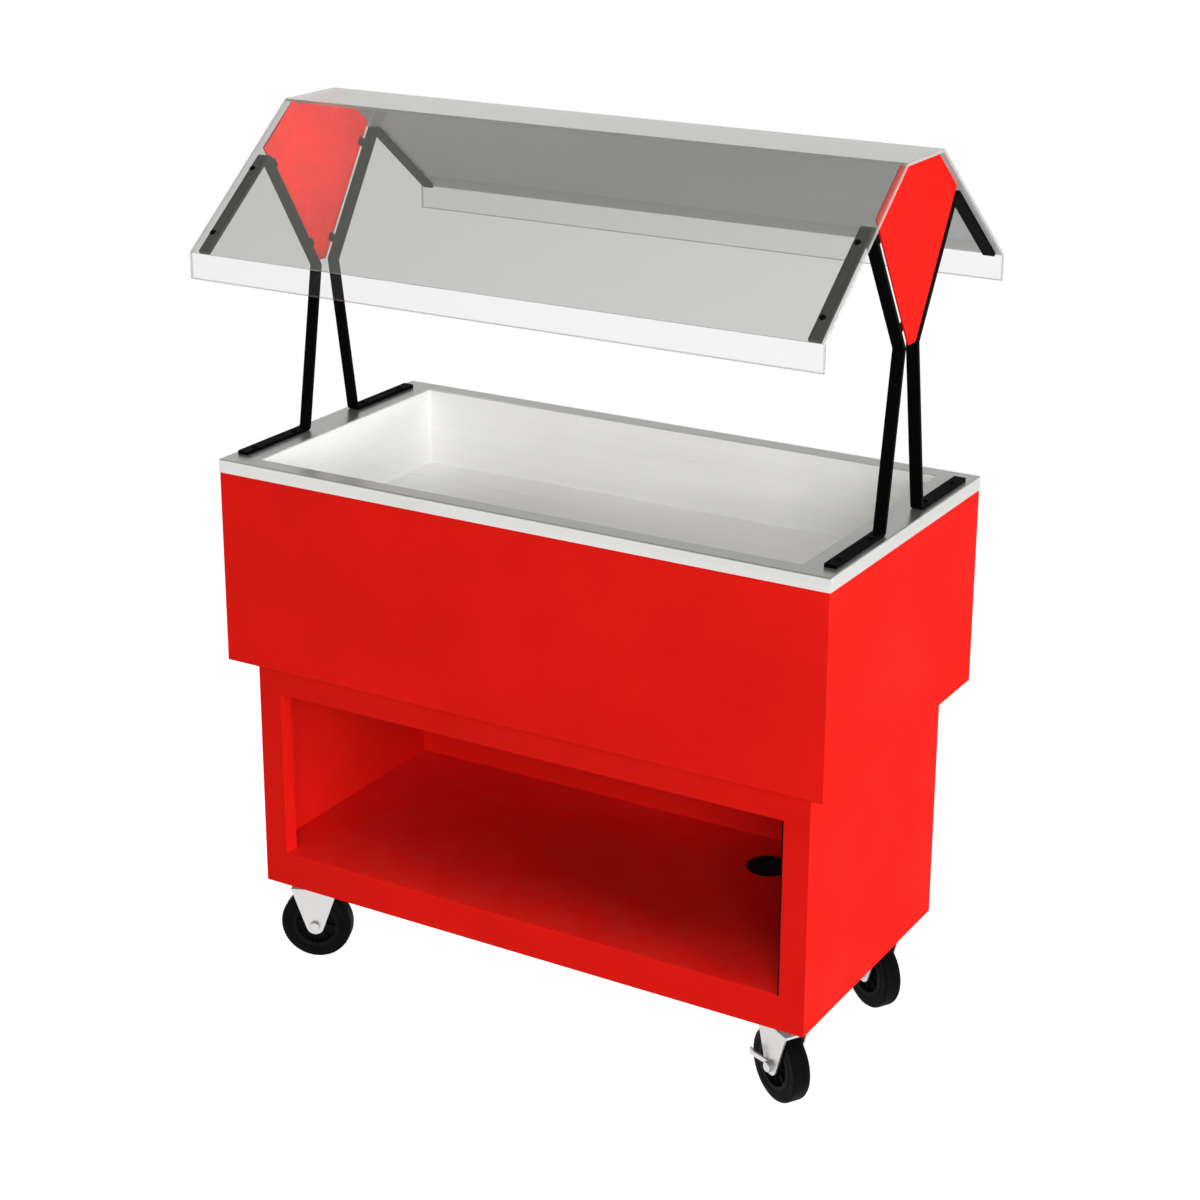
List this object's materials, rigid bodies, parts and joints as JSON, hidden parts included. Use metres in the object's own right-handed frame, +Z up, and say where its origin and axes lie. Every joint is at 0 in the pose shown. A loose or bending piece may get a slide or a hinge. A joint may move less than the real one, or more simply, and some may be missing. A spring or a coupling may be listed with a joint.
{
  "type": "cold food buffet table",
  "caption": "Portable cold food buffet table: an insulated stainless well under a smoke acrylic canopy, on a red cabinet with an open shelf and swivel casters.",
  "frame": {"origin": "on the floor, under the middle of the table", "axes": "+Z up, +X to the right along the table, -Y towards the open front"},
  "size_m": [1.127, 0.665, 1.5126],
  "materials": {
    "stainless": "brushed",
    "red_paint": "satin",
    "black_paint": "satin",
    "black_fasteners": "satin",
    "smoke_acrylic": "gloss",
    "clear_acrylic": "gloss",
    "galvanised": "dull",
    "zinc_plate": "satin",
    "foam": "matte",
    "black_rubber": "matte",
    "grey_sealant": "matte",
    "brass": "satin",
    "lever_grip": "satin",
    "tyre_black": "matte",
    "core_grey": "matte"
  },
  "bodies": {
    "table": {"base_back": "red_paint", "base_front": "red_paint", "base_left": "red_paint", "base_right": "red_paint", "bottom_shelf": "red_paint", "canopy_top": "smoke_acrylic", "caster_bolts": "zinc_plate", "caster_channels": "galvanised", "caster_plates": "zinc_plate", "cold_pan": "stainless", "deck_top": "stainless", "drain_body": "stainless", "drain_nut": "brass", "foot_bolts": "black_fasteners", "foot_nuts": "black_fasteners", "front_apron": "red_paint", "front_lip": "clear_acrylic", "front_shield": "smoke_acrylic", "gable_left": "red_paint", "gable_right": "red_paint", "gable_tabs": "black_paint", "hose_spigot": "brass", "insulation_case": "galvanised", "left_apron": "red_paint", "pan_insulation": "foam", "pan_seal": "grey_sealant", "rear_apron": "red_paint", "rear_lip": "clear_acrylic", "rear_shield": "smoke_acrylic", "right_apron": "red_paint", "shelf_grommet": "black_rubber", "shield_screws": "black_fasteners", "support_front_left": "black_paint", "support_front_right": "black_paint", "support_rear_left": "black_paint", "support_rear_right": "black_paint", "valve_body": "brass", "well_bearers": "galvanised"},
    "strainer": {"drain_strainer": "stainless"},
    "drain_handle": {"valve_ball": "brass", "valve_lever": "lever_grip"},
    "swivel_front_left": {"fork_front_left": "zinc_plate", "axle_front_left": "zinc_plate"},
    "wheel_front_left": {"wheel_core_front_left": "core_grey", "tyre_front_left": "tyre_black"},
    "brake_front_left": {"brake_lever_front_left": "zinc_plate"},
    "swivel_front_right": {"fork_front_right": "zinc_plate", "axle_front_right": "zinc_plate"},
    "wheel_front_right": {"wheel_core_front_right": "core_grey", "tyre_front_right": "tyre_black"},
    "brake_front_right": {"brake_lever_front_right": "zinc_plate"},
    "swivel_rear_left": {"fork_rear_left": "zinc_plate", "axle_rear_left": "zinc_plate"},
    "wheel_rear_left": {"wheel_core_rear_left": "core_grey", "tyre_rear_left": "tyre_black"},
    "swivel_rear_right": {"fork_rear_right": "zinc_plate", "axle_rear_right": "zinc_plate"},
    "wheel_rear_right": {"wheel_core_rear_right": "core_grey", "tyre_rear_right": "tyre_black"}
  },
  "joints": [
    {"name": "strainer_lift", "type": "slide", "parent": "table", "child": "strainer", "axis": [0, 0, 1], "range_m": [0, 0.05]},
    {"name": "drain_handle_turn", "type": "hinge", "parent": "table", "child": "drain_handle", "pos_m": [0.266, 0.055, 0.6725], "axis": [0, -1, 0], "range_deg": [0, 90]},
    {"name": "swivel_front_left_turn", "type": "hinge", "parent": "table", "child": "swivel_front_left", "pos_m": [-0.438, -0.176, 0.14], "axis": [0, 0, 1], "continuous": true},
    {"name": "wheel_front_left_spin", "type": "hinge", "parent": "swivel_front_left", "child": "wheel_front_left", "pos_m": [-0.46387, -0.18671, 0.0635], "axis": [0.3827, -0.9239, 0], "continuous": true},
    {"name": "brake_front_left_press", "type": "hinge", "parent": "swivel_front_left", "child": "brake_front_left", "pos_m": [-0.46387, -0.18671, 0.0635], "axis": [-0.3827, 0.9239, 0], "range_deg": [0, 50]},
    {"name": "swivel_front_right_turn", "type": "hinge", "parent": "table", "child": "swivel_front_right", "pos_m": [0.438, -0.176, 0.14], "axis": [0, 0, 1], "continuous": true},
    {"name": "wheel_front_right_spin", "type": "hinge", "parent": "swivel_front_right", "child": "wheel_front_right", "pos_m": [0.46213, -0.19021, 0.0635], "axis": [0.5075, 0.8616, 0], "continuous": true},
    {"name": "brake_front_right_press", "type": "hinge", "parent": "swivel_front_right", "child": "brake_front_right", "pos_m": [0.46213, -0.19021, 0.0635], "axis": [-0.5075, -0.8616, 0], "range_deg": [0, 50]},
    {"name": "swivel_rear_left_turn", "type": "hinge", "parent": "table", "child": "swivel_rear_left", "pos_m": [-0.438, 0.176, 0.14], "axis": [0, 0, 1], "continuous": true},
    {"name": "wheel_rear_left_spin", "type": "hinge", "parent": "swivel_rear_left", "child": "wheel_rear_left", "pos_m": [-0.46225, 0.162, 0.0635], "axis": [0.5, -0.866, 0], "continuous": true},
    {"name": "swivel_rear_right_turn", "type": "hinge", "parent": "table", "child": "swivel_rear_right", "pos_m": [0.438, 0.176, 0.14], "axis": [0, 0, 1], "continuous": true},
    {"name": "wheel_rear_right_spin", "type": "hinge", "parent": "swivel_rear_right", "child": "wheel_rear_right", "pos_m": [0.46213, 0.16179, 0.0635], "axis": [0.5075, 0.8616, 0], "continuous": true}
  ]
}
